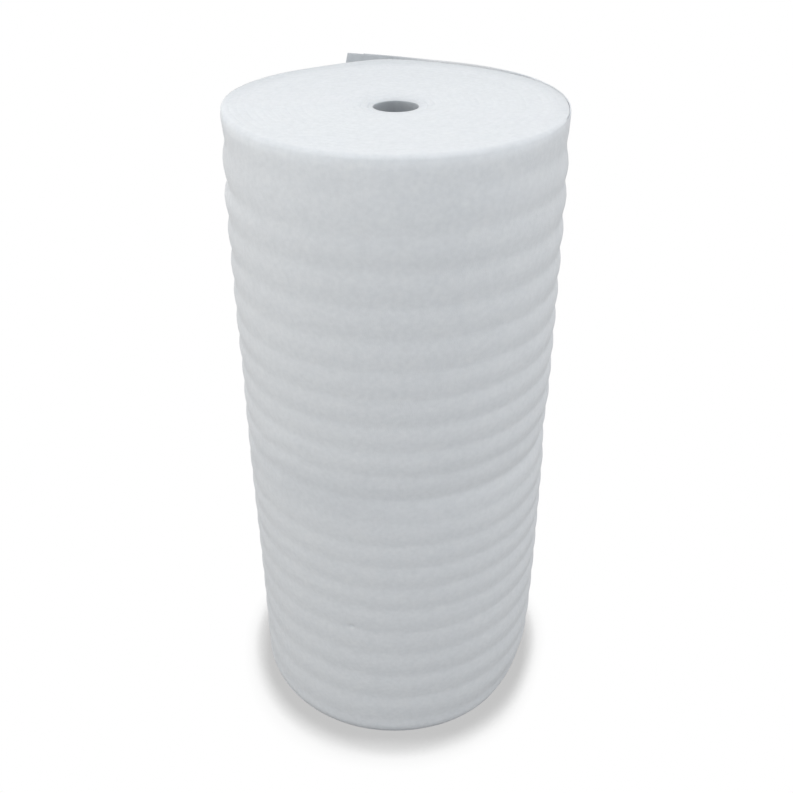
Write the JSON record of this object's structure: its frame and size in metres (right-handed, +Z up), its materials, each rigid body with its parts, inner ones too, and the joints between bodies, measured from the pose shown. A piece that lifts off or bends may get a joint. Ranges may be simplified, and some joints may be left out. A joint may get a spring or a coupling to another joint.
{
  "type": "foam wrap roll",
  "caption": "Coreless roll of soft white foam wrapping sheet, standing on its end, with ribbed sides, a plain hole through it and the loose end of the sheet behind.",
  "frame": {"origin": "on the roll's axis, in the plane of the end face that the roll stands on", "axes": "+Z up along the hole, +X to the right in the picture, +Y away from the camera, towards the loose end of the sheet"},
  "size_m": [0.5795, 0.6511, 1.2],
  "materials": {
    "foam": "soft matte closed-cell foam"
  },
  "bodies": {
    "root": {"foam_roll": "foam"}
  },
  "joints": []
}
